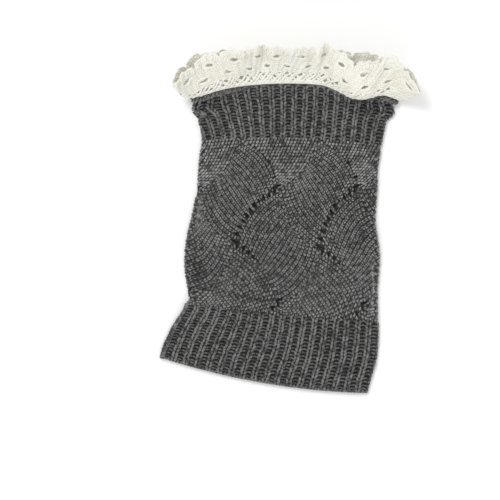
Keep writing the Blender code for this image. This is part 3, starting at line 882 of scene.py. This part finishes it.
def even_places(samples=720, per_scallop=6, across=0.7 * LACE_WIDTH):
    """Places round the mouth at which equal lengths of lace have passed, this far from the seam."""
    around = np.arange(samples + 1) / samples
    points = lace_middle(around, across)
    passed = np.concatenate([[0.0], np.cumsum(np.linalg.norm(np.diff(points, axis=0), axis=1))])
    steps = np.arange(SCALLOPS * per_scallop + 1) / (SCALLOPS * per_scallop)
    return steps, np.interp(steps * passed[-1], passed, around), passed[-1]


STRIP_STEPS, STRIP_PLACES, STRIP_LENGTH = even_places()
SCALLOP = STRIP_LENGTH / SCALLOPS

# Small folds that the gathers leave: how high, how many, how far and how often they crowd, and how
# they slant with each millimetre from the seam.
CRINKLES = ((0.5, 35, 1.7, 3, 0.12), (0.25, 83, 2.0, 5, -0.3))
CRINKLE_START = 8.0  # they are full this far from the seam


def crinkle(scallop, across):
    """The small folds' height: none at the seam."""
    turn = 2 * math.pi * scallop / SCALLOPS
    folds = sum(
        height * np.sin(count * turn + crowd * np.sin(times * turn) + slant * across)
        for height, count, crowd, times, slant in CRINKLES
    )
    return folds * easing(across / CRINKLE_START)


def lace_surface(scallop, across, lift):
    """Points on the lace and its normals, for a scallop count round the mouth."""
    even = scallop / SCALLOPS
    turns = np.floor(even)
    placed = np.interp(even - turns, STRIP_STEPS, STRIP_PLACES) + turns
    around = even + (placed - even) * easing(across / LACE_WIDTH)
    step = 0.3  # and the nearest to the seam that a normal is taken
    normals = normals_of(lace_middle, around, np.maximum(across, step), long_step=step)
    lift = np.asarray(lift) + crinkle(scallop, across)
    return lace_middle(around, across) + normals * lift[..., None], normals


def edge_at(scallop):
    """How far from the seam the scalloped edge lies."""
    part = scallop % 1.0
    arch = np.sin(math.pi * part) ** SCALLOP_FULLNESS
    bumps = 1 - np.abs(np.sin(BUMPS * math.pi * part))
    return LACE_WIDTH + SCALLOP_RISE * (arch - 1) - BUMP_RISE * bumps


def cotton(name, deep, light):
    """Cream cotton thread: soft, a little shiny, with a yellower deep tone. The faint glow is
    painted light: it stands for the light that comes through thin lace."""
    material, shader, place = start_finish(name, roughness=0.8, sheen=0.15)
    fill(shader, {"Emission Color": light, "Emission Strength": 0.13})
    fibres = place.noise(scale=1300.0, detail=2.0)
    patches = place.noise(scale=90.0, detail=2.0)
    tone = 0.6
    shade = fibres.contrast(1.2) + patches.contrast(1.2) + tone
    end_finish(shader, shade.blend(deep, light), fibres, depth=0.0002)
    return material


cream_cotton = cotton("cream_cotton", (0.65, 0.63, 0.54, 1.0), (0.76, 0.755, 0.7, 1.0))
# Painted shade: a darker, yellower copy for the lace's ground, which shows between the threads.
cotton_shade_ground = cotton("cotton_shade_ground", (0.52, 0.49, 0.37, 1.0), (0.68, 0.65, 0.53, 1.0))

CLOSE_WORK = 10.5  # where the net ends and the close work starts
CLOTH_HALF = 0.15  # half the ground's thickness
END_GAP = 0.4 / SCALLOP  # threads stop this far from the ends of a half of the strip
THREAD_GAP = 0.5  # and from an eyelet
LACE_COLUMNS, LACE_ROWS = 24, 30  # of the ground's grid, in a scallop and from net to edge
INNER_EYELET = (15.2, 3.1, 1.5)  # distance from the seam, half width, half height
OUTER_EYELET = (25.0, 3.5, 1.7)
LACE_EYELETS = ((0.0, INNER_EYELET), (0.5, OUTER_EYELET))  # and their place in a scallop


def eyelet_share(scallop, across):
    """How far out of the nearest eyelet's middle a place is: 1 on its edge."""
    shares = []
    for middle, (at, half_width, half_height) in LACE_EYELETS:
        side = (scallop - middle + 0.5) % 1.0 - 0.5
        shares.append(np.hypot(side * SCALLOP / half_width, (across - at) / half_height))
    return np.minimum(*shares)


def push_out(scallop, across, margin=0.0):
    """Moves places that lie in an eyelet out to its edge, or past it by a margin."""
    part = scallop % 1.0
    for middle, (at, half_width, half_height) in LACE_EYELETS:
        side = (part - middle + 0.5) % 1.0 - 0.5
        half_width, half_height = half_width + margin, half_height + margin
        x, y = side * SCALLOP / half_width, (across - at) / half_height
        share = np.maximum(np.hypot(x, y), 1e-6)
        inside = share < 1
        scallop = np.where(inside, scallop - side + x / share * half_width / SCALLOP, scallop)
        across = np.where(inside, at + y / share * half_height, across)
    return scallop, across


def lace_cloth(name, first, last):
    """The close work's ground, which replaces the lace's solid."""
    scallop = np.linspace(first, last, (last - first) * LACE_COLUMNS + 1)[None, :]
    share = np.linspace(0.0, 1.0, LACE_ROWS)[:, None]
    across = CLOSE_WORK + (edge_at(scallop) - CLOSE_WORK) * share
    scallop = np.broadcast_to(scallop, across.shape)
    middle_s = (scallop[:-1, :-1] + scallop[1:, 1:]) / 2
    middle_a = (across[:-1, :-1] + across[1:, 1:]) / 2
    kept = eyelet_share(middle_s, middle_a) > 1
    gap = SEAM_GAP / 2 / SCALLOP
    scallop, across = push_out(scallop, across)
    scallop = np.clip(scallop, first + gap, last - gap)
    front, _ = lace_surface(scallop, across, CLOTH_HALF)
    back, _ = lace_surface(scallop, across, -CLOTH_HALF)
    piece = cloth(name + "_cloth", front, back, kept, False, cotton_shade_ground, "lace")
    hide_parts(name)
    return piece


def threads(name, paths, yarn):
    """Lengths of thread through the lace: each a row of (scallop, distance from the seam, lift)."""
    centres, ups = lace_surface(*np.moveaxis(paths, -1, 0))
    return strands(name, centres, ups, yarn, full_taper(paths.shape[1]), cream_cotton, "lace")


def net(first, last):
    """The net ground: threads that cross aslant, cut at the ends of this half of the strip."""
    per_scallop, foot, depth, lift, shortest = 4, 0.5, CLOSE_WORK + 0.7, 0.2, 0.1
    mean_lean, uneven_start, uneven_lean, points = 0.75, 0.3, 0.14, 14
    wobble = np.random.default_rng(11)
    paths = []
    for i in range((first - 1) * per_scallop, (last + 1) * per_scallop):
        for way in (-1, 1):
            start = (i + 0.5 + wobble.uniform(-uneven_start, uneven_start)) / per_scallop
            lean = mean_lean + wobble.uniform(-uneven_lean, uneven_lean)
            ends = sorted((end - start) / lean * way for end in (first + END_GAP, last - END_GAP))
            low, high = max(0.0, ends[0]), min(1.0, ends[1])
            if high - low > shortest:
                run = np.linspace(low, high, points)
                place = start + way * lean * run
                paths.append(np.stack([place, foot + depth * run, lift * way + 0 * run], axis=1))
    return np.array(paths)


def warp(first, last):
    """Threads from the net to the scalloped edge, which part round the eyelets."""
    per_scallop, inset, points = 10, 0.3, 26
    scallop = (np.arange(first * per_scallop, last * per_scallop) + 0.5) / per_scallop
    share = np.linspace(0.0, 1.0, points)
    across = CLOSE_WORK + (edge_at(scallop)[:, None] - inset - CLOSE_WORK) * share
    scallop = np.broadcast_to(scallop[:, None], across.shape)
    scallop, across = push_out(scallop, across, THREAD_GAP)
    return np.stack([scallop, across, 0 * across], axis=2)


def weft(first, last):
    """Rows of looped thread along the strip, wavy over the others, and round the scallops."""
    loops, wave, weave = 5, 0.45, 0.35  # loops to a scallop, and how far they wave and weave
    rows = np.linspace(0.05, 0.88, 10)  # shares of the way from net to edge
    points = 60  # to a scallop
    scallop = np.linspace(first + END_GAP, last - END_GAP, (last - first) * points)
    paths = []
    for i, share in enumerate(rows):
        turn = 2 * math.pi * scallop * loops + math.pi * i
        across = CLOSE_WORK + (edge_at(scallop) - CLOSE_WORK) * share + wave * np.sin(turn)
        place = push_out(scallop, across, THREAD_GAP)
        paths.append(np.stack([*place, weave * np.cos(turn * 2)], axis=1))
    return np.array(paths)


def rings(first, last):
    """Two rings of thread round each eyelet."""
    ring_pair = ((0.35, 0.2), (1.3, 0.35))  # how far out of the eyelet, and how high
    points = 25
    paths = []
    turn = np.linspace(0, 2 * math.pi, points)
    for scallop in range(first, last):
        for middle, (at, half_width, half_height) in LACE_EYELETS:
            for extra, lift in ring_pair:
                place = scallop + middle + (half_width + extra) * np.cos(turn) / SCALLOP
                from_seam = at + (half_height + extra) * np.sin(turn)
                if first < place.min() and place.max() < last:
                    paths.append(np.stack([place, from_seam, lift + 0 * turn], axis=1))
    return np.array(paths)


def fans(first, last):
    """Spokes from each outer eyelet to the scallop's edge."""
    start_gap, end_gap, shortest, lift = 1.6, 1.0, 1.0, 0.45
    spread = 0.44  # half the fan's width at the edge, in scallops
    angles = np.radians(np.linspace(8, 172, 9))
    points = 8
    at, half_width, half_height = OUTER_EYELET
    share = np.linspace(0.0, 1.0, points)
    spokes = []
    for scallop in range(first, last):
        for angle in angles:
            start = 0.5 + (half_width + start_gap) * math.cos(angle) / SCALLOP
            end = 0.5 + spread * math.cos(angle)
            foot = at + (half_height + start_gap) * math.sin(angle)
            head = edge_at(np.array(end)) - end_gap
            if head > foot + shortest:
                place = scallop + start + (end - start) * share
                from_seam = foot + (head - foot) * share
                spokes.append(np.stack([place, from_seam, lift + 0 * share], axis=1))
    return np.array(spokes)


def picots(first, last):
    """A small loop on each bump of the scallops' edge."""
    inset, height, half_width = 1.0, 1.2, 1.9
    past, points = 0.3, 9  # past a half turn, at either end
    turn = np.linspace(-past, math.pi + past, points)
    loops = []
    for i in range(first * BUMPS, last * BUMPS):
        middle = (i + 0.5) / BUMPS
        place = middle + half_width * np.cos(turn) / SCALLOP
        from_seam = edge_at(np.array(middle)) - inset + height * np.sin(turn)
        loops.append(np.stack([place, from_seam, 0 * turn], axis=1))
    return np.array(loops)


def cords(first, last):
    """Heavier threads along the strip: two at the foot, one over the net, two along the edge."""
    from_seam, from_edge = (0.6, 2.1, CLOSE_WORK), (0.4, 1.8)
    lift, points = 0.1, 24
    scallop = np.linspace(first + END_GAP, last - END_GAP, (last - first) * points)
    places = [np.full(scallop.shape, at) for at in from_seam]
    places += [edge_at(scallop) - inset for inset in from_edge]
    return np.array([np.stack([scallop, place, lift + 0 * place], axis=1) for place in places])


def sewing(first, last):
    """Running stitches that hold the lace's foot to the rim."""
    per_scallop, length, from_seam, height, end_gap, points = 3, 0.2, 1.3, 0.75, 0.1, 7
    starts = np.arange((first + end_gap) * per_scallop, (last - end_gap) * per_scallop)
    share = np.linspace(0.0, 1.0, points)
    scallop = (starts / per_scallop)[:, None] + length * share
    lift = height * np.sin(math.pi * share) + 0 * scallop
    return np.stack([scallop, from_seam + 0 * scallop, lift], axis=2)


# Each kind of thread: its name, its paths through the strip, and half its width and height.
THREADS = (
    ("_net", net, (0.95, 0.55)),
    ("_warp_threads", warp, (0.72, 0.6)),
    ("_weft_threads", weft, (0.6, 0.55)),
    ("_eyelet_rings", rings, (0.66, 0.6)),
    ("_fans", fans, (0.6, 0.6)),
    ("_picots", picots, (0.6, 0.55)),
    ("_cords", cords, (0.72, 0.6)),
    ("_sewing", sewing, (0.36, 0.3)),
)

half_strip = SCALLOPS // 2
for part, first, last in (("lace_front", 0, half_strip), ("lace_back", half_strip, SCALLOPS)):
    piece = lace_cloth(part, first, last)
    made = [threads(part + kind, lay(first, last), yarn) for kind, lay, yarn in THREADS]

# The stage: a pale table, soft light from the upper left and the front, and the camera straight
# above.

EDGE = 3.0  # half the table's side
PALE, WHITE = (0.9, 0.9, 0.9, 1.0), (1.0, 1.0, 1.0, 1.0)

table = bpy.data.meshes.new("table")
corners = [(-EDGE, -EDGE, 0), (EDGE, -EDGE, 0), (EDGE, EDGE, 0), (-EDGE, EDGE, 0)]
table.from_pydata(corners, [], [(0, 1, 2, 3)])
pale = bpy.data.materials.new("pale_table")
pale.use_nodes = True
fill(pale.node_tree.nodes["Principled BSDF"], {"Base Color": PALE, "Roughness": 0.9})
table.materials.append(pale)
floor = bpy.data.objects.new("table", table)
bpy.context.scene.collection.objects.link(floor)
floor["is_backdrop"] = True

world = bpy.data.worlds.new("studio")
world.use_nodes = True
fill(world.node_tree.nodes["Background"], {"Color": WHITE, "Strength": 0.8})
bpy.context.scene.world = world


def lamp(name, place, size, power):
    """A round lamp, aimed at the origin."""
    data = bpy.data.lights.new(name, "AREA")
    data.shape = "DISK"
    data.size = size
    data.energy = power
    light = bpy.data.objects.new(name, data)
    bpy.context.scene.collection.objects.link(light)
    light.location = place
    light.rotation_euler = (-light.location).to_track_quat("-Z", "Y").to_euler()


lamp("key", (-0.38, 0.5, 1.42), size=0.5, power=8.7)
lamp("fill", (-0.2, -1.3, 0.8), size=0.8, power=6.5)

PIXEL = 0.68  # of the photograph, on the table
CAMERA_HEIGHT = 1600.0
SENSOR = 36.0
PHOTO_SIZE = 500
ORIGIN_AT = (287.9, 220.27)  # where the part's origin lies in it

camera = bpy.data.objects.new("camera", bpy.data.cameras.new("camera"))
bpy.context.scene.collection.objects.link(camera)
camera.location.x = (PHOTO_SIZE / 2 - ORIGIN_AT[0]) * PIXEL * MM
camera.location.y = (ORIGIN_AT[1] - PHOTO_SIZE / 2) * PIXEL * MM
camera.location.z = CAMERA_HEIGHT * MM
camera.data.sensor_width = SENSOR
camera.data.lens = SENSOR * CAMERA_HEIGHT / (PHOTO_SIZE * PIXEL)
bpy.context.scene.camera = camera
bpy.context.scene.view_settings.view_transform = "Standard"

boxes = {"cad": cad_box, "visual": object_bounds()}
{name: [list(corner) for corner in box] for name, box in boxes.items()}
